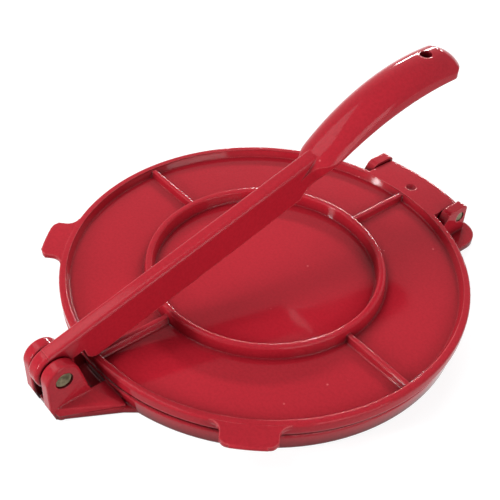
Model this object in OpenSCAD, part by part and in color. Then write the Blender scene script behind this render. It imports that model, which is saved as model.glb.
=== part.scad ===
// Tortilla press: two cast plates hinged at the back and a lever hinged at the front.
// X runs across the press, +Y from the lever clevis to the rear hinge, Z up.
// The origin is the centre of the top plate, on the surface the base stands on.

/* [Plates] */
// Outer radius of the top plate
plate_r = 105; // [95:1:125]
// Height of the top plate's rim above the surface
rim_z = 18.4; // [18:0.1:20]
// Height of the pressing face of the top plate
face_z = 11.4; // [10.8:0.1:12]
// Gap between the two pressing faces when shut
press_gap = 0.4; // [0.3:0.1:1]
// Thickness of the top plate's floor
floor_t = 3; // [2.5:0.1:4]
// Width of the rim across its flat top
rim_w = 3.6; // [3:0.1:6]
// Side draft of the rim's inner wall
rim_draft = 1.6; // [0.5:0.1:3]
// Edge rounding of the castings
edge_r = 1.2; // [0.8:0.1:1.5]
// How much smaller the base disc is than the top plate
base_inset = 1; // [0.5:0.1:3]
// Draft of the base disc's side from top to bottom
base_draft = 1.2; // [0.5:0.1:4]
// How far the base disc sits towards the lever
base_shift = 0.8; // [0:0.1:1]
// Thickness of the base disc's pressing wall
base_wall = 4.5; // [3.5:0.1:5.5]
// Width of the foot rim under the base
foot_w = 5; // [4:0.5:8]

/* [Ring and ribs] */
// Radius to the middle of the raised ring
ring_r = 59.9; // [45:0.1:75]
// Width of the ring across its crest
ring_w = 3.6; // [2.5:0.1:6]
// Height of the ring above the floor
ring_h = 6.2; // [3:0.1:8]
// Width of a rib across its crest
rib_w = 3; // [2:0.1:5]
// Height of a rib above the floor
rib_h = 3.2; // [2:0.1:3.8]
// Side draft of ring and ribs, per side
rib_draft = 1.1; // [0.4:0.1:2]

/* [Finger tabs] */
// Angle of each tab from the lever's side
tab_angle = 46.5; // [35:0.5:60]
// Width of a tab
tab_w = 26; // [18:0.5:34]
// How far a tab sticks out past the plate
tab_out = 11.6; // [8:0.1:16]
// Thickness of a tab
tab_t = 2.4; // [2:0.1:5]
// Corner radius of a tab
tab_corner = 4.5; // [2:0.5:7]
// Radius where a tab's side runs into the rim
tab_root = 6; // [3:0.5:9]

/* [Rear hinge] */
// Distance from the centre to the hinge axis
hinge_y = 116.3; // [114:0.1:118]
// Height of the hinge axis
hinge_z = 13.9; // [13.6:0.1:14.2]
// Diameter of the hinge pin
hinge_d = 6; // [4:0.1:6]
// Radial clearance of a turning pin in its bore
pin_fit = 0.06; // [0.03:0.01:0.1]
// Half width of the top plate's hinge flange
flange_half = 25.4; // [20:0.1:30]
// Reach of the flange behind the hinge axis
flange_back = 6.7; // [5:0.1:7]
// Side gap between the flange and an ear
ear_gap = 0.8; // [0.5:0.1:1.5]
// Thickness of a rear ear
ear_t = 5.8; // [4:0.1:8]
// Height of a rear ear above the flange's top
ear_over = 1.6; // [0.5:0.1:3]
// Length of a rear ear ahead of the hinge axis
ear_front = 13.2; // [9:0.1:13.4]
// Length of a rear ear behind the hinge axis
ear_back = 5; // [4.5:0.1:7]
// Thickness of the rear lug at the base's foot
lug_t = 3.5; // [3:0.1:4.5]
// Radius of the rear lug's round corners
lug_r = 13; // [10:0.5:15]
// Distance of the rear lug's round corners from the middle
lug_x = 30; // [26:0.5:34]

/* [Lever clevis] */
// Distance from the centre to the lever pin
pin_y = 124.2; // [122:0.1:128]
// Height of the lever pin
pin_z = 23.2; // [22.8:0.1:25]
// Diameter of the lever pin
pin_d = 8.6; // [6:0.1:9.4]
// Radius of a clevis ear around the pin
clevis_r = 8.5; // [8:0.1:10]
// Thickness of a clevis ear
clevis_t = 6.6; // [5:0.1:9]
// Rounding of a clevis ear's edges
clevis_soft = 1.1; // [0.5:0.1:1.5]
// Lean of a clevis ear's back edge
lean_back = 15; // [8:0.5:16]
// Height of the web where it leaves a clevis ear
web_z = 9.2; // [7:0.1:9.4]
// Height of the web's rib on the ear's back edge
web_top = 17.5; // [12:0.5:20]
// Width of the front lug past an ear, at the disc
lug_w = 14.5; // [10:0.5:16]
// Thickness of the front lug
toe_t = 3; // [2.5:0.1:4]
// Height of the front lug above the surface
toe_z = 1; // [0:0.1:2]
// Side gap between the lever and an ear
lever_gap = 0.4; // [0.3:0.1:0.8]
// How deep each pin end sits inside its ear
pin_inset = 0.9; // [0.3:0.1:1.5]

/* [Lever] */
// Angle of the lever above level when the plates are shut
lever_angle = 15.9; // [15.5:0.1:18]
// Width of the lever bar
bar_w = 8; // [7:0.1:10]
// Depth of the bar above the pin's axis
bar_up = 10.2; // [9:0.1:10.5]
// Depth of the bar below the pin's axis
bar_down = 8.8; // [8:0.1:9]
// Rounding of the bar's long edges
bar_r = 2; // [1:0.1:3]
// Distance along the lever from the pin to the pressing heel
heel_u = 15.2; // [14.8:0.1:17]
// Radius of the pressing heel's corner
heel_r = 5.2; // [3.5:0.1:6]
// Radius of the lever's eye around the pin
eye_r = 9.9; // [9:0.1:10.2]
// Distance along the lever from the pin to the grip's crown
grip_u = 159; // [145:0.5:175]
// Angle at which the crown leaves the bar, from level
grip_rise = 41.4; // [38:0.1:44]
// Radius of the crown along the grip
crest_r = 123.5; // [112:0.1:135]
// Radius of the crown across the grip
crown_r = 14.4; // [14.1:0.1:19]
// Half width of the grip behind its neck
neck_half = 11.9; // [10:0.1:12.5]
// Half width of the grip near its end
grip_half = 13.3; // [12:0.1:13.9]
// Radius of the grip's end in plan
end_r = 15.2; // [14.4:0.1:17]
// Radius of the corners at the grip's end
end_corner = 5; // [3:0.1:6]
// Radius of the dome over the grip's end
cap_r = 19; // [17:0.5:22]
// Height of the grip at its level end
grip_depth = 12.1; // [10:0.1:13]
// Radius of the grip's underside along the lever
under_r = 165.6; // [150:0.1:185]
// Distance from the crown's highest point to the underside's
under_shift = 8; // [6:0.1:12]
// Radius where the bar's underside turns up into the grip
turn_r = 45; // [35:1:60]
// Angle of the grip's underside where that turn ends
turn_a = 28.7; // [27:0.1:31]
// Wall thickness of the grip
grip_wall = 3.4; // [2.5:0.1:4]
// Length of the neck from the bar's width to the grip's
flare_l = 22; // [16:0.5:26]
// Diameter of the hanging hole
hang_d = 6.5; // [5:0.5:8]

/* [Hidden] */
$fn = 96;
RED = "#a81e2e";
STEEL = "#8a8d84";

// plates
base_r = plate_r - base_inset;
base_z = face_z - press_gap;
foot_r = base_r - base_draft;
well_r = foot_r - foot_w;
well_h = base_z - base_wall;
floor_z = face_z + floor_t;
rim_in = plate_r - rim_w;
// rear hinge
knuckle_r = min(rim_z - hinge_z, hinge_z - base_z + 1.6);
ear_in = flange_half + ear_gap;
ear_top = rim_z + ear_over;
// clevis
slot_half = bar_w / 2 + lever_gap;
clevis_half = slot_half + clevis_t;
// grip: its crown and its underside are arcs in the YZ plane, joined to the bar's back at grip_u
join_y = -pin_y + grip_u * cos(lever_angle) - bar_up * sin(lever_angle);
join_z = pin_z + grip_u * sin(lever_angle) + bar_up * cos(lever_angle);
grip_cy = join_y + crest_r * sin(grip_rise);
grip_cz = join_z - crest_r * cos(grip_rise);
under_cy = grip_cy + under_shift;
under_cz = grip_cz + crest_r - grip_depth - under_r;
hang_y = grip_cy - 7.8;
flare_y = join_y - 12;
pocket_y = flare_y + flare_l + 6;
end_cy = grip_cy - 3.2;
bar_len = grip_u + 7;

// axes: turn a shape drawn along Z so that it lies along X
module along_x(y, z) { translate([0, y, z]) rotate([0, 90, 0]) children(); }

// rectangle with rounded corners, centred
module soft_rect(w, h, r) {
    square([w - 2 * r, h], center = true);
    square([w, h - 2 * r], center = true);
    for (x = [-1, 1], y = [-1, 1]) translate([x * (w / 2 - r), y * (h / 2 - r)]) circle(r, $fn = 32);
}

// round disc with softened rims, centred on the origin along Z
module soft_disc(r, w, e) {
    rotate_extrude() intersection() {
        soft_rect(2 * r, w, e);
        translate([0, -w]) square([r + 1, 2 * w]);
    }
}

// crest profile of the ring or a rib: x across, y up from its foot
module crest_profile(w, h, r) {
    foot = w / 2 + rib_draft;
    polygon([[-foot, -1], [-foot, 0], [-w / 2, h - r], [w / 2, h - r], [foot, 0], [foot, -1]]);
    translate([r - w / 2, 0]) square([w - 2 * r, h]);
    for (x = [-1, 1]) translate([x * (w / 2 - r), h - r]) circle(r, $fn = 32);
}

// half-section of the top plate, from the axis outwards
module top_section() {
    wall_h = rim_z - face_z;
    square([plate_r - 8, floor_t]);
    difference() {
        translate([plate_r - 9, 0]) square([9, wall_h]);
        // lower corner
        translate([plate_r - 2.2, -1]) square([3, 3.2]);
        // upper corners
        translate([plate_r - edge_r, wall_h - edge_r]) square(2 * edge_r);
        polygon([[plate_r - 12, floor_t], [rim_in - rim_draft, floor_t], [rim_in, wall_h - edge_r / 2],
                 [rim_in + edge_r / 2, rim_z], [plate_r - 12, rim_z]]);
    }
    translate([plate_r - 2.2, 2.2]) circle(2.2, $fn = 32);
    translate([plate_r - edge_r, wall_h - edge_r]) circle(edge_r, $fn = 32);
    translate([rim_in + edge_r / 2, wall_h - edge_r / 2]) circle(edge_r / 2, $fn = 32);
}

// a flat lug of radius r and thickness t, its rim rounded by e, between the plate and r
module lug_section(r, z0, t, e) {
    translate([plate_r - 14, z0]) square([r - plate_r + 14 - e, t]);
    translate([plate_r - 14, z0 + e]) square([r - plate_r + 14, t - 2 * e]);
    for (z = [e, t - e]) translate([r - e, z0 + z]) circle(e, $fn = 32);
}

// plan of a finger tab, pointing along +X, with rounded corners and flared roots
module tab_plan() {
    r = plate_r + tab_out;
    h = tab_w / 2;
    cx = sqrt(pow(plate_r + tab_root, 2) - pow(h + tab_root, 2));
    cy = (h + tab_root) * plate_r / (plate_r + tab_root);
    translate([plate_r - 8, -h]) square([tab_out + 8 - tab_corner + 1.2, tab_w]);
    translate([plate_r - 8, -h + tab_corner]) square([tab_out + 12, tab_w - 2 * tab_corner]);
    for (m = [0, 1]) mirror([0, m]) {
        translate([r - tab_corner - 0.9, h - tab_corner]) circle(tab_corner, $fn = 48);
        difference() {
            translate([plate_r - 8, 0]) square([cx - plate_r + 8, cy]);
            translate([cx, h + tab_root]) circle(tab_root, $fn = 64);
        }
    }
}

module finger_tab(a) {
    rotate([0, 0, a - 90]) intersection() {
        rotate([0, 0, -20]) rotate_extrude(angle = 40)
            lug_section(plate_r + tab_out, 0, tab_t, min(edge_r, 0.42 * tab_t));
        translate([0, 0, -1]) linear_extrude(tab_t + 2) difference() {
            tab_plan();
            circle(rim_in + edge_r);
        }
    }
}

// ring with four ribs that run from the ring to r_out, foot at z = 0
module ring_and_ribs(r_out, h_ring, h_rib) {
    rotate_extrude() translate([ring_r, 0]) crest_profile(ring_w, h_ring, 1.1);
    r_in = ring_r + ring_w / 2 - 0.6;
    for (a = [0 : 90 : 270]) rotate([0, 0, a]) translate([r_in, 0, 0]) rotate([90, 0, 90])
        linear_extrude(r_out - r_in) crest_profile(rib_w, h_rib, 0.9);
}

// side outline of a rear ear in the YZ plane
module rear_ear_plan() {
    r = 2;
    y0 = hinge_y - ear_front;
    y1 = hinge_y + ear_back;
    translate([y0 + 4, 0]) square([y1 - y0 - 4, ear_top - r]);
    translate([y0 + 4 + r, 0]) square([y1 - y0 - 4 - 2 * r, ear_top]);
    polygon([[y0, 0], [y0 + 4.6, 0], [y0 + 4.6, ear_top - 0.6], [y0 + 3.6, ear_top - 1], [y0, ear_top - 6]]);
    translate([y0 + 4 + r, ear_top - r]) circle(r, $fn = 32);
    translate([y1 - r, ear_top - r]) circle(r, $fn = 32);
}

// clevis ear around the pin's axis, its back edge leaning out to the foot
module clevis_ear() {
    rotate([0, 90, 0]) soft_disc(clevis_r, clevis_t, clevis_soft);
    for (a = [0, lean_back]) rotate([a, 0, 0]) mirror([0, 0, 1])
        linear_extrude(pin_z + 8) soft_rect(clevis_t, 2 * clevis_r - 0.1, clevis_soft);
}

// side outline within which the clevis ears stay: their front edge turns in at the foot
module ear_bounds() {
    yf = -pin_y - clevis_r;
    polygon([[yf - 2, 60], [yf - 2, 14.6], [yf + 2, toe_z + 0.4], [yf + 2.6, toe_z],
             [-90, toe_z], [-90, 60]]);
}

// plan of the front lug that carries the clevis
module front_lug_plan() {
    yf = -pin_y - clevis_r + 2.4;
    c = 3;
    hw = clevis_half + 1.8;
    x1 = clevis_half + lug_w;
    for (m = [0, 1]) mirror([m, 0])
        polygon([[-1, yf], [hw - c, yf], [hw, yf + c], [x1, -plate_r + 0.5], [x1 + 5, -plate_r + 7],
                 [x1 + 5, -plate_r + 20], [-1, -plate_r + 20]]);
    for (s = [-1, 1]) translate([s * (hw - c), yf + c]) circle(c, $fn = 32);
}

// plan of the rear lug under the hinge ears
module rear_lug_plan() {
    for (m = [0, 1]) mirror([m, 0]) {
        translate([lug_x, hinge_y - 3]) circle(lug_r);
        translate([lug_x - 8, plate_r - 24]) square([lug_r + 8, hinge_y - plate_r + 21]);
    }
    translate([-lug_x, plate_r - 20]) square([2 * lug_x, hinge_y - plate_r + 17 + lug_r]);
}

// web on the outside of a clevis ear: a low roof over the front lug and a rib up the ear's back edge
module clevis_web(s) {
    e = 0.8;
    x0 = clevis_half - e;
    yf = -pin_y - clevis_r + e;
    yb = -pin_y + clevis_r;
    yd = -plate_r + 1.6;
    z0 = toe_z + e;
    z1 = toe_z + toe_t;
    front = [x0 - 0.4, yf + 0.6, web_z - e - 0.6];
    back = [x0 + 0.7, yb + 3.4, web_z];
    hull() for (p = [front, back, [x0 + 0.7, yd, web_z - 0.4], [x0 - 2, yd, z0], [x0 - 2, yf + 2, z0],
                     [x0 + 1.4, yf + 2.6, z1], [x0 + lug_w - 0.6, yd + 0.6, z1]])
        translate([s * p[0], p[1], p[2]]) sphere(e, $fn = 16);
    hull() for (p = [front, back, [x0, yb - 0.4, web_top], [x0 - 2, yb, web_top - 2],
                     [x0 - 2, yb + 2, web_z - 2], [x0 - 2, yf + 2, web_z - 3]])
        translate([s * p[0], p[1], p[2]]) sphere(e, $fn = 16);
}

module base_plate() {
    color(RED) difference() {
        union() {
            translate([0, -base_shift, 0]) difference() {
                rotate_extrude() {
                    polygon([[0, 0], [foot_r - 1, 0], [foot_r, 1], [base_r, base_z - edge_r],
                             [base_r - edge_r, base_z - edge_r], [base_r - edge_r, base_z], [0, base_z]]);
                    translate([base_r - edge_r, base_z - edge_r]) circle(edge_r, $fn = 32);
                }
                // hollow underside with its own ring and ribs
                difference() {
                    translate([0, 0, -1])
                        cylinder(r1 = well_r, r2 = well_r - 1.5, h = well_h + 1, $fn = 128);
                    translate([0, 0, well_h]) mirror([0, 0, 1])
                        ring_and_ribs(well_r + 1, well_h - 1.5, well_h - 1.5);
                }
            }
            // lugs, each stopping at the foot rim
            difference() {
                union() {
                    translate([0, 0, toe_z]) linear_extrude(toe_t) front_lug_plan();
                    linear_extrude(lug_t) rear_lug_plan();
                }
                translate([0, -base_shift, -1]) cylinder(r = well_r + 1, h = 10, $fn = 128);
            }
            for (s = [-1, 1]) {
                intersection() {
                    translate([s * (slot_half + clevis_half) / 2, -pin_y, pin_z]) clevis_ear();
                    along_x(0, 0) rotate([0, 0, 90]) linear_extrude(60, center = true) ear_bounds();
                }
                clevis_web(s);
                translate([s * (ear_in + ear_t / 2), 0, 0]) along_x(0, 0) rotate([0, 0, 90])
                    linear_extrude(ear_t, center = true) rear_ear_plan();
            }
        }
        // pin bores, a press fit on each pin's ends
        along_x(-pin_y, pin_z) cylinder(d = pin_d, h = 80, center = true);
        along_x(hinge_y, hinge_z) cylinder(d = hinge_d, h = 120, center = true);
    }
}

module top_plate() {
    color(RED) difference() {
        union() {
            translate([0, 0, face_z]) rotate_extrude() top_section();
            translate([0, 0, floor_z]) ring_and_ribs(rim_in, ring_h, rib_h);
            for (s = [-1, 1]) translate([0, 0, rim_z - tab_t - 0.2]) finger_tab(s * tab_angle);
            // hinge flange with its knuckle
            intersection() {
                difference() {
                    rotate_extrude() lug_section(hinge_y + flange_back, face_z, rim_z - face_z, edge_r);
                    translate([0, 0, face_z - 1]) cylinder(r = rim_in + edge_r, h = rim_z);
                }
                translate([-flange_half, 60, 0]) cube([2 * flange_half, 80, 40]);
            }
            along_x(hinge_y, hinge_z) cylinder(r = knuckle_r, h = 2 * flange_half, center = true);
        }
        // cast dimple on the flange
        translate([0, hinge_y - 6.8, rim_z + 1.4]) sphere(r = 3.2);
        along_x(hinge_y, hinge_z) cylinder(d = hinge_d + 2 * pin_fit, h = 120, center = true);
    }
}

// round bar of radius t bent along the crown's arc, dip being how far its middle lies below the crest
module crown_arc(t, dip) {
    translate([0, grip_cy, grip_cz]) rotate([90, 0, 90]) rotate([0, 0, 80])
        rotate_extrude(angle = 72, $fn = 240) translate([crest_r - dip, 0]) circle(t, $fn = 96);
}

// half plan of the grip's neck: an S of two equal arcs that leaves the bar's side and meets the grip's
module neck_half_plan() {
    x0 = bar_w / 2 - 0.1;
    step = neck_half - x0;
    r = (step * step + flare_l * flare_l) / (4 * step);
    intersection() {
        translate([neck_half - r, flare_y + flare_l]) circle(r, $fn = 180);
        translate([-1, flare_y + flare_l / 2]) square([neck_half + 2, flare_l / 2 + 0.01]);
    }
    difference() {
        translate([-1, flare_y]) square([x0 + step / 2 + 1, flare_l / 2 + 0.01]);
        translate([x0 + r, flare_y]) circle(r, $fn = 180);
    }
}

// half plan of the grip from y0 to its round end, inset all round by e
module grip_half_plan(y0, e) {
    c = end_corner;
    cx = grip_half - c;
    cy = end_cy + sqrt(pow(end_r - c, 2) - cx * cx);
    k = (end_r + 1) / (end_r - c);
    polygon([[-1, y0], [neck_half - e, y0], [grip_half - e, cy], [-1, cy]]);
    translate([cx, cy]) circle(c - e, $fn = 48);
    intersection() {
        translate([0, end_cy]) circle(end_r - e, $fn = 128);
        polygon([[-1, end_cy], [0, end_cy], [cx * k, end_cy + (cy - end_cy) * k], [cx * k, end_cy + 30],
                 [-1, end_cy + 30]]);
    }
}

module grip() {
    difference() {
        intersection() {
            crown_arc(crown_r, crown_r);
            lever_frame() translate([-20, 0, -bar_down]) cube([40, 400, 200]);
            linear_extrude(200) for (m = [0, 1]) mirror([m, 0]) {
                neck_half_plan();
                grip_half_plan(flare_y + flare_l, 0);
            }
            // dome over the end
            union() {
                translate([-20, -60, 0]) cube([40, end_cy + 60, 200]);
                translate([0, end_cy, grip_cz + crest_r + 0.5 - cap_r]) sphere(cap_r);
            }
        }
        // hollow underside
        intersection() {
            crown_arc(crown_r - grip_wall, crown_r);
            linear_extrude(200) for (m = [0, 1]) mirror([m, 0]) grip_half_plan(pocket_y, grip_wall);
        }
    }
    // boss around the hanging hole
    intersection() {
        translate([0, hang_y, 0]) cylinder(d = hang_d + 6, h = 200);
        crown_arc(crown_r - 0.5, crown_r);
    }
}

// frame that follows the lever: x across, y along the lever from the pin, z square to it
module lever_frame() { translate([0, -pin_y, pin_z]) rotate([lever_angle, 0, 0]) children(); }

// side outline of the bar, drawn in the lever's own frame: x along it, y square to it
module bar_outline() {
    translate([heel_u + heel_r, -bar_down]) square([bar_len - heel_u - heel_r, bar_up + bar_down]);
    translate([heel_u, heel_r - bar_down]) square([2 * heel_r, bar_up + bar_down - heel_r]);
    translate([heel_u + heel_r, heel_r - bar_down]) circle(heel_r, $fn = 64);
    translate([0, bar_up - 10]) square([heel_u + 1, 10]);
}

// side outline of the space below the lever: the grip's arc with a tighter turn down to the bar
module under_outline() {
    d = under_r - turn_r;
    y = under_cy - d * sin(turn_a);
    z = under_cz + d * cos(turn_a);
    intersection() {
        translate([under_cy, under_cz]) circle(under_r, $fn = 360);
        union() {
            translate([y, z]) circle(turn_r, $fn = 180);
            translate([under_cy - under_r * sin(turn_a), z - 2 * turn_r]) square([200, 4 * turn_r]);
        }
    }
}

module lever() {
    color(RED) difference() {
        union() {
            lever_frame() {
                // eye
                rotate([0, 90, 0]) soft_disc(eye_r, bar_w, bar_r);
                // bar with a rounded back and the pressing heel
                intersection() {
                    rotate([90, 0, 90]) linear_extrude(bar_w, center = true) bar_outline();
                    translate([0, 0, bar_up - 15]) rotate([-90, 0, 0])
                        linear_extrude(bar_len) soft_rect(bar_w, 30, bar_r);
                }
            }
            grip();
        }
        // underside of the bar and the grip
        along_x(0, 0) rotate([0, 0, 90]) linear_extrude(60, center = true) under_outline();
        // pin bore
        along_x(-pin_y, pin_z) cylinder(d = pin_d + 2 * pin_fit, h = 40, center = true);
        // hanging hole
        translate([0, hang_y, grip_cz + crest_r - 30]) cylinder(d = hang_d, h = 40);
    }
}

module lever_pin() {
    color(STEEL) along_x(-pin_y, pin_z) soft_pin(pin_d, 2 * (clevis_half - pin_inset));
}

module hinge_pin() {
    color(STEEL) along_x(hinge_y, hinge_z) soft_pin(hinge_d, 2 * (ear_in + ear_t - 0.4));
}

// plain steel pin with chamfered ends, centred along Z
module soft_pin(d, l) {
    cylinder(d = d, h = l - 1.2, center = true);
    for (m = [0, 1]) mirror([0, 0, m]) translate([0, 0, l / 2 - 0.6]) cylinder(d1 = d, d2 = d - 1, h = 0.6);
}

base_plate();
top_plate();
lever();
lever_pin();
hinge_pin();
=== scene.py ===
"""Tortilla press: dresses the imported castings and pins, and sets the studio round them."""

import logging
import math
from collections.abc import Iterable
from dataclasses import dataclass
from enum import Enum

import bpy
from mathutils import Matrix, Vector


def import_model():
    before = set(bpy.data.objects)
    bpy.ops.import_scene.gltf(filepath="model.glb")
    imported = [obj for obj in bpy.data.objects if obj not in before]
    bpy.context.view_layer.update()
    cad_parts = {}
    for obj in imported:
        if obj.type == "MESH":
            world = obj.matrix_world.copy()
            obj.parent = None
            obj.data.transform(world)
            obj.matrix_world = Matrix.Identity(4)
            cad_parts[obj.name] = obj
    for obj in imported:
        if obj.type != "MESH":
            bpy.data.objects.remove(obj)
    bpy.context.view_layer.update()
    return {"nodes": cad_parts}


log = logging.getLogger("tortilla_press")

Colour = tuple[float, float, float]
Point = tuple[float, float, float]
Socket = bpy.types.NodeSocket

WHITE: Colour = (1.0, 1.0, 1.0)

# places of the colour sockets on a Mix node, whose names repeat for each kind of data
MIX_AMOUNT, MIX_FIRST, MIX_SECOND, MIX_RESULT = 0, 6, 7, 2


class Sum(Enum):
    """The arithmetic that a Math node can do here."""

    ADD = "ADD"
    TIMES = "MULTIPLY"
    GREATER = "MAXIMUM"


class Finish(Enum):
    """The finishes that the pieces of the press can have."""

    ENAMEL = "enamel"
    STEEL = "steel"


@dataclass(frozen=True)
class Grain:
    """Fractal noise in object space.

    scale is its cycles in a metre, detail its octaves, and roughness the share that each finer
    octave keeps.
    """

    scale: float
    detail: float = 3.0
    roughness: float = 0.5


@dataclass(frozen=True)
class Fade:
    """A smooth step that goes from least, where a value is low, to most, where it is high.

    With low above high, the result grows as the value falls.
    """

    low: float
    high: float
    least: float = 0.0
    most: float = 1.0


def rgba(colour: Colour) -> tuple[float, float, float, float]:
    """Adds full opacity to a colour."""
    return (*colour, 1.0)


class Nodes:
    """Adds nodes to one node tree and links them."""

    def __init__(self, tree: bpy.types.NodeTree) -> None:
        """Keeps the tree that the nodes go into."""
        self.tree = tree

    def put(self, socket: Socket, value: object) -> None:
        """Links an output to a socket, or writes a plain value into it.

        Args:
            socket: the input to fill.
            value: an output socket or a constant.
        """
        if isinstance(value, Socket):
            self.tree.links.new(value, socket)
        else:
            socket.default_value = value

    def node(self, kind: str, settings: dict[str, object] | None = None,
             **inputs: object) -> bpy.types.Node:
        """Adds a node, sets its properties and fills its inputs by name.

        Args:
            kind: the node's type name without the ShaderNode prefix.
            settings: properties of the node.
            inputs: a value or an output for each input, with underscores for spaces.

        Returns:
            The new node.
        """
        made = self.tree.nodes.new("ShaderNode" + kind)
        for key, value in (settings or {}).items():
            setattr(made, key, value)
        for key, value in inputs.items():
            self.put(made.inputs[key.replace("_", " ")], value)
        return made

    def joined(self, made: bpy.types.Node, *values: object) -> Socket:
        """Fills a node's inputs in their order, for nodes whose inputs share a name.

        Args:
            made: the node.
            values: a value or an output for each input, from the first.

        Returns:
            The node's first output.
        """
        for socket, value in zip(made.inputs, values):
            self.put(socket, value)
        return made.outputs[0]

    def maths(self, kind: Sum, first: object, second: object) -> Socket:
        """Applies one arithmetic operation.

        Args:
            kind: the operation.
            first: a value or a socket.
            second: a value or a socket.

        Returns:
            The result.
        """
        return self.joined(self.node("Math", {"operation": kind.value}), first, second)

    def fade(self, value: Socket, span: Fade) -> Socket:
        """Maps a value through a smooth step.

        Args:
            value: the socket to map.
            span: where the step starts and ends, and its results there.

        Returns:
            The mapped value.
        """
        mapped = self.node("MapRange", {"interpolation_type": "SMOOTHSTEP"}, Value=value,
                           From_Min=span.low, From_Max=span.high,
                           To_Min=span.least, To_Max=span.most)
        return mapped.outputs["Result"]

    def blend(self, amount: object, first: object, second: object) -> Socket:
        """Mixes two colours.

        Args:
            amount: share of the second colour, as a value or a socket.
            first: a colour or a socket.
            second: a colour or a socket.

        Returns:
            The mixed colour.
        """
        mix = self.node("Mix", {"data_type": "RGBA"})
        self.put(mix.inputs[MIX_AMOUNT], amount)
        self.put(mix.inputs[MIX_FIRST], first)
        self.put(mix.inputs[MIX_SECOND], second)
        return mix.outputs[MIX_RESULT]

    def backdrop_rays(self) -> Socket:
        """Tells the rays that show the background from those that only carry light.

        Returns:
            One for camera, glossy and transmission rays, and zero for the rest.
        """
        path = self.node("LightPath").outputs
        direct = self.maths(Sum.GREATER, path["Is Camera Ray"], path["Is Glossy Ray"])
        return self.maths(Sum.GREATER, direct, path["Is Transmission Ray"])


class Shader(Nodes):
    """The node tree of one new material, with a Principled surface."""

    def __init__(self, name: str) -> None:
        """Starts the material.

        Args:
            name: the material's name.
        """
        self.material = bpy.data.materials.new(name)
        self.material.use_nodes = True
        super().__init__(self.material.node_tree)
        self.surface = self.tree.nodes["Principled BSDF"]
        self.place = self.node("TexCoord").outputs["Object"]

    def fill(self, name: str, value: object) -> None:
        """Fills one named input of the Principled surface."""
        self.put(self.surface.inputs[name], value)

    def noise(self, grain: Grain) -> Socket:
        """Gives a noise value from 0 to 1 in object space."""
        return self.node("TexNoise", Vector=self.place, Scale=grain.scale, Detail=grain.detail,
                         Roughness=grain.roughness).outputs["Fac"]

    def patches(self, grain: Grain, span: Fade) -> Socket:
        """Gives noise taken through a smooth step."""
        return self.fade(self.noise(grain), span)

    def openness(self, reach: float, samples: int) -> Socket:
        """Gives how open the surface is to its surroundings.

        Args:
            reach: how far round the surface other surfaces count, in metres.
            samples: rays for each point.

        Returns:
            Zero in a closed corner and one in the open.
        """
        return self.node("AmbientOcclusion", {"samples": samples}, Distance=reach).outputs["AO"]


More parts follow.
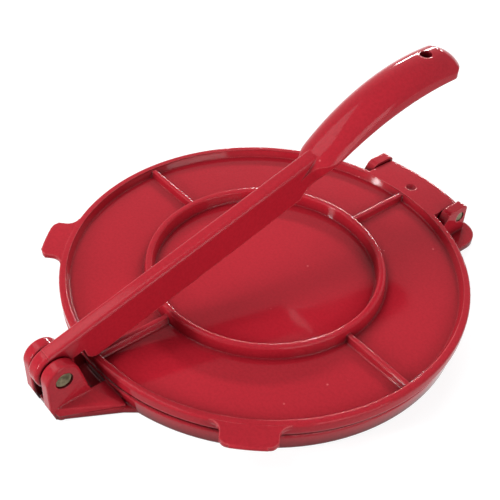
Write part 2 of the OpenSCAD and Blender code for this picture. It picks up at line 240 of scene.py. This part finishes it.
@dataclass(frozen=True)
class RedEnamel:
    """Glossy red coat over cast aluminium.

    The coat's colour has painted shade, darker in the inner corners and where the surface lies
    sheltered, and lighter patches on the edges that are partly thin coat and partly painted
    highlight. Its skin has a faint orange peel over the slight waves of the casting, a few dust
    nibs, and gloss that varies in rubbed patches. Reaches, radii and depths are in metres.
    """

    name: str = "cherry_red_coat"
    body: Colour = (0.435, 0.0145, 0.027)
    # dark tone for the colour's drift and mottle, and the colour of the painted shade
    dark_tone_and_shade: Colour = (0.07, 0.0020, 0.004)
    # lighter edge colour: partly thin coat, partly painted highlight
    thin_coat_and_highlight: Colour = (0.64, 0.095, 0.105)
    nib: Colour = (0.72, 0.16, 0.17)
    specular: float = 0.11

    drift: Grain = Grain(11.0)
    drift_fade: Fade = Fade(0.32, 0.72, most=0.10)
    mottle: Grain = Grain(700.0, roughness=0.6)
    mottle_fade: Fade = Fade(0.35, 0.70, most=0.14)

    # painted shade: reaches and steps that darken the colour in inner corners and sheltered
    # places
    corner_reach: float = 0.0105
    corner_fade: Fade = Fade(0.97, 0.42, most=0.86)
    shelter_reach: float = 0.03
    shelter_fade: Fade = Fade(0.50, 0.08, most=0.92)
    corner_samples: int = 8

    edge_radius: float = 0.0013
    edge_samples: int = 6
    edge_fade: Fade = Fade(0.995, 0.90)
    edge_open_fade: Fade = Fade(0.6, 0.95)
    # patchiness of the lighter edges, which are partly wear and partly painted highlight
    edge_patches: Grain = Grain(85.0, detail=4.0, roughness=0.6)
    edge_patches_fade: Fade = Fade(0.40, 0.66, least=0.25, most=0.85)

    nib_scale: float = 130.0
    nib_fade: Fade = Fade(0.085, 0.05)
    nib_patch: Grain = Grain(60.0, detail=0.0)
    nib_patch_fade: Fade = Fade(0.60, 0.66)
    nib_share: float = 0.5

    rubbed: Grain = Grain(55.0, detail=5.0, roughness=0.6)
    rubbed_fade: Fade = Fade(0.3, 0.75, least=0.075, most=0.135)
    peel: Grain = Grain(620.0)
    peel_share: float = 0.12
    cast: Grain = Grain(70.0)
    skin_depth: float = 0.00010
    skin_strength: float = 0.5

    def drifted(self, shader: Shader) -> Socket:
        """Gives the coat's own colour with its slow drift and its fine mottle.

        Args:
            shader: the material in the making.

        Returns:
            The colour.
        """
        drift = shader.patches(self.drift, self.drift_fade)
        mottle = shader.patches(self.mottle, self.mottle_fade)
        return shader.blend(shader.maths(Sum.ADD, drift, mottle), rgba(self.body),
                            rgba(self.dark_tone_and_shade))

    def painted_shade(self, shader: Shader, colour: Socket, corners_open: Socket) -> Socket:
        """Paints shade into the colour: darker in inner corners and where the surface lies
        sheltered.

        Args:
            shader: the material in the making.
            colour: the colour so far.
            corners_open: how open the surface is within the reach of a corner.

        Returns:
            The colour.
        """
        # painted shade in inner corners
        colour = shader.blend(shader.fade(corners_open, self.corner_fade), colour,
                              rgba(self.dark_tone_and_shade))
        # painted shade where the surface lies sheltered
        shelter = shader.openness(self.shelter_reach, self.corner_samples)
        return shader.blend(shader.fade(shelter, self.shelter_fade), colour, rgba(self.dark_tone_and_shade))

    def worn_and_highlit(self, shader: Shader, colour: Socket, corners_open: Socket,
             rounded: Socket) -> Socket:
        """Lightens the colour in patches along the outer edges: partly thin coat, partly painted
        highlight.

        An edge is where the rounded direction leaves the true one: their dot product falls
        below one there.

        Args:
            shader: the material in the making.
            colour: the colour so far.
            corners_open: how open the surface is, which leaves inner corners out.
            rounded: the surface direction with its sharp edges rounded off.

        Returns:
            The colour.
        """
        agreement = shader.node("VectorMath", {"operation": "DOT_PRODUCT"})
        shader.joined(agreement, rounded, shader.node("NewGeometry").outputs["Normal"])
        bend = shader.fade(agreement.outputs["Value"], self.edge_fade)
        edge = shader.maths(Sum.TIMES, bend, shader.fade(corners_open, self.edge_open_fade))
        patches = shader.patches(self.edge_patches, self.edge_patches_fade)
        # lighter edges: partly thin coat, partly painted highlight
        return shader.blend(shader.maths(Sum.TIMES, edge, patches), colour, rgba(self.thin_coat_and_highlight))

    def nibbed(self, shader: Shader, colour: Socket) -> Socket:
        """Adds the few dust nibs, as small spots at the centres of scattered cells.

        Args:
            shader: the material in the making.
            colour: the colour so far.

        Returns:
            The colour.
        """
        cells = shader.node("TexVoronoi", {"feature": "F1"}, Vector=shader.place,
                            Scale=self.nib_scale, Randomness=1.0)
        sparse = shader.patches(self.nib_patch, self.nib_patch_fade)
        spots = shader.fade(cells.outputs["Distance"], self.nib_fade)
        nibs = shader.maths(Sum.TIMES, spots, sparse)
        return shader.blend(shader.maths(Sum.TIMES, nibs, self.nib_share), colour,
                            rgba(self.nib))

    def skin(self, shader: Shader, rounded: Socket) -> Socket:
        """Puts casting waves and orange peel on the surface.

        Args:
            shader: the material in the making.
            rounded: the surface direction with its sharp edges rounded off.

        Returns:
            The surface direction.
        """
        peel = shader.maths(Sum.TIMES, shader.noise(self.peel), self.peel_share)
        height = shader.maths(Sum.ADD, peel, shader.noise(self.cast))
        bump = shader.node("Bump", Height=height, Strength=self.skin_strength,
                           Distance=self.skin_depth, Normal=rounded)
        return bump.outputs["Normal"]

    def build(self) -> bpy.types.Material:
        """Makes the coat's material.

        Returns:
            The finished material.
        """
        shader = Shader(self.name)
        rounded = shader.node("Bevel", {"samples": self.edge_samples},
                              Radius=self.edge_radius).outputs["Normal"]
        corners_open = shader.openness(self.corner_reach, self.corner_samples)
        # painted shade in inner corners and sheltered places
        colour = self.painted_shade(shader, self.drifted(shader), corners_open)
        # lighter edges in patches: partly thin coat, partly painted highlight
        colour = self.worn_and_highlit(shader, colour, corners_open, rounded)
        shader.fill("Base Color", self.nibbed(shader, colour))
        shader.fill("Roughness", shader.patches(self.rubbed, self.rubbed_fade))
        shader.fill("Specular IOR Level", self.specular)
        shader.fill("Normal", self.skin(shader, rounded))
        return shader.material


@dataclass(frozen=True)
class PinSteel:
    """Plain steel rod with dull, slightly tarnished ends and a fine grain."""

    name: str = "tarnished_pin_steel"
    steel: Colour = (0.22, 0.185, 0.11)
    tarnish: Colour = (0.070, 0.058, 0.030)
    metallic: float = 0.85
    stain: Grain = Grain(260.0, detail=4.0, roughness=0.6)
    stain_fade: Fade = Fade(0.38, 0.68)
    grain: Grain = Grain(900.0)
    grain_fade: Fade = Fade(0.2, 0.8, least=0.36, most=0.62)
    grain_depth: float = 0.00008
    grain_strength: float = 0.4

    def build(self) -> bpy.types.Material:
        """Makes the steel's material.

        Returns:
            The finished material.
        """
        shader = Shader(self.name)
        stained = shader.patches(self.stain, self.stain_fade)
        grain = shader.noise(self.grain)
        bump = shader.node("Bump", Height=grain, Strength=self.grain_strength,
                           Distance=self.grain_depth)
        shader.fill("Base Color", shader.blend(stained, rgba(self.steel), rgba(self.tarnish)))
        shader.fill("Metallic", self.metallic)
        shader.fill("Roughness", shader.fade(grain, self.grain_fade))
        shader.fill("Normal", bump.outputs["Normal"])
        return shader.material


@dataclass(frozen=True)
class PressParts:
    """The castings and pins of the press, each with the finish that it wears."""

    nodes: dict[str, bpy.types.Object]
    worn_by: tuple[tuple[str, Finish], ...] = (
        ("base_plate", Finish.ENAMEL),
        ("top_plate", Finish.ENAMEL),
        ("lever", Finish.ENAMEL),
        ("lever_pin", Finish.STEEL),
        ("hinge_pin", Finish.STEEL),
    )

    def dress(self) -> None:
        """Gives every piece its finish."""
        materials = {Finish.ENAMEL: RedEnamel().build(), Finish.STEEL: PinSteel().build()}
        for name, finish in self.worn_by:
            piece = self.nodes[name]
            piece.data.materials.clear()
            piece.data.materials.append(materials[finish])
            log.info("dressed %s in %s", name, finish.value)


@dataclass(frozen=True)
class Lamp:
    """One rectangular studio lamp, placed by its direction and distance from its aim.

    turn is its direction in the floor's plane, from +X towards +Y, and rise its height above
    that plane, both in degrees. reach, width and height are in metres, and power in watts.
    """

    name: str
    turn: float
    rise: float
    reach: float
    width: float
    height: float
    power: float

    def build(self, aim: Vector) -> None:
        """Adds the lamp to the scene.

        Args:
            aim: the point that it faces.
        """
        light = bpy.data.lights.new(self.name, "AREA")
        light.shape = "RECTANGLE"
        light.size, light.size_y = self.width, self.height
        light.energy = self.power
        turn, rise = math.radians(self.turn), math.radians(self.rise)
        away = Vector((math.cos(turn) * math.cos(rise), math.sin(turn) * math.cos(rise),
                       math.sin(rise)))
        lamp = bpy.data.objects.new(self.name, light)
        facing = away.to_track_quat("Z", "Y").to_matrix().to_4x4()
        lamp.matrix_world = Matrix.Translation(aim + away * self.reach) @ facing
        bpy.context.scene.collection.objects.link(lamp)
        log.info("hung lamp %s", self.name)


@dataclass(frozen=True)
class Viewpoint:
    """The camera's place and lens.

    It looks down at the press from the clevis's side. turn is its direction in the floor's
    plane, from -Y towards +X, rise its height above that plane and roll its lean, all in
    degrees. reach is its distance from the press, and right, up and drop then shift it across
    its own frame and down, in metres. focal and sensor are in millimetres.
    """

    turn: float = 48.75
    rise: float = 41.06
    roll: float = 3.16
    reach: float = 0.47841
    right: float = -0.00718
    up: float = 0.02264
    drop: float = 0.003
    focal: float = 64.8
    sensor: float = 36.0
    nearest: float = 0.01

    def build(self) -> None:
        """Makes the camera and sets it as the scene's."""
        turn, rise, roll = (math.radians(angle) for angle in (self.turn, self.rise, self.roll))
        back = Vector((math.sin(turn) * math.cos(rise), -math.cos(turn) * math.cos(rise),
                       math.sin(rise)))
        level = Vector((math.cos(turn), math.sin(turn), 0.0))
        above = back.cross(level)
        right = level * math.cos(roll) + above * math.sin(roll)
        up = above * math.cos(roll) - level * math.sin(roll)
        place = back * self.reach + right * self.right + up * self.up
        place.z -= self.drop
        lens = bpy.data.cameras.new("camera")
        lens.lens = self.focal
        lens.sensor_width = self.sensor
        lens.clip_start = self.nearest
        camera = bpy.data.objects.new("camera", lens)
        turned = Matrix((right, up, back)).transposed().to_4x4()
        camera.matrix_world = Matrix.Translation(place) @ turned
        bpy.context.scene.collection.objects.link(camera)
        bpy.context.scene.camera = camera


@dataclass(frozen=True)
class Studio:
    """White floor and world, four soft lamps and the camera.

    The floor and the world are white to the rays that show them. To the light that falls on
    the press, the floor is a plain grey and the world a weak soft glow.
    """

    soft_colour: Colour = (0.95, 0.97, 1.0)
    soft_light: float = 0.17
    floor_span: float = 6.0
    floor_grey: Colour = (0.28, 0.28, 0.28)
    floor_roughness: float = 0.9
    glow_fade: Fade = Fade(0.2, 0.6, least=0.84, most=1.0)
    view: Viewpoint = Viewpoint()
    lamp_aim: Point = (0.0, 0.0, 0.03)
    lamps: tuple[Lamp, ...] = (
        Lamp("key", -130.0, 56.0, 0.76, 0.60, 0.50, 3.4),
        Lamp("side fill", 3.0, 17.0, 1.3, 0.8, 0.8, 12.0),
        Lamp("left strip", -106.0, 15.0, 1.0, 0.08, 0.34, 6.2),
        Lamp("low back strip", 128.0, 19.0, 1.5, 0.80, 0.09, 21.0),
    )

    def world(self) -> None:
        """Sets a world that is white where it is seen and a soft glow elsewhere."""
        world = bpy.data.worlds.new("studio")
        bpy.context.scene.world = world
        world.use_nodes = True
        world.node_tree.nodes.clear()
        tree = Nodes(world.node_tree)
        soft = tree.node("Background", Color=rgba(self.soft_colour), Strength=self.soft_light)
        seen = tree.node("Background", Color=rgba(WHITE), Strength=1.0)
        mixed = tree.joined(tree.node("MixShader"), tree.backdrop_rays(), soft.outputs[0],
                            seen.outputs[0])
        tree.node("OutputWorld", Surface=mixed)

    def floor_finish(self) -> bpy.types.Material:
        """Makes the floor's material.

        Where the floor is seen, it glows on top of its grey. The glow is weaker near the
        press, so that the press's shadow still shows on the grey there.

        Returns:
            The finished material.
        """
        shader = Shader("white_sweep")
        shader.fill("Base Color", rgba(self.floor_grey))
        shader.fill("Roughness", self.floor_roughness)
        shader.fill("Specular IOR Level", 0.0)
        distance = shader.node("VectorMath", {"operation": "LENGTH"}, Vector=shader.place)
        glow = shader.node("Emission", Color=rgba(WHITE),
                           Strength=shader.fade(distance.outputs["Value"], self.glow_fade))
        grey = shader.surface.outputs[0]
        shown = shader.joined(shader.node("AddShader"), grey, glow.outputs[0])
        mixed = shader.joined(shader.node("MixShader"), shader.backdrop_rays(), grey, shown)
        shader.put(shader.tree.nodes["Material Output"].inputs["Surface"], mixed)
        return shader.material

    def floor(self) -> None:
        """Lays the floor, a square centred under the press."""
        half = self.floor_span / 2
        mesh = bpy.data.meshes.new("floor")
        mesh.from_pydata([(-half, -half, 0), (half, -half, 0), (half, half, 0), (-half, half, 0)],
                         [], [(0, 1, 2, 3)])
        mesh.materials.append(self.floor_finish())
        floor = bpy.data.objects.new("floor", mesh)
        bpy.context.scene.collection.objects.link(floor)

    def build(self) -> None:
        """Sets the whole studio."""
        self.view.build()
        self.world()
        self.floor()
        for lamp in self.lamps:
            lamp.build(Vector(self.lamp_aim))
        bpy.context.scene.view_settings.view_transform = "Standard"


def main() -> None:
    """Loads the press, sets the studio and dresses the pieces."""
    logging.basicConfig(level=logging.INFO, format="%(message)s")
    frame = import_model()
    Studio().build()
    PressParts(frame["nodes"]).dress()


if __name__ == "__main__":
    main()
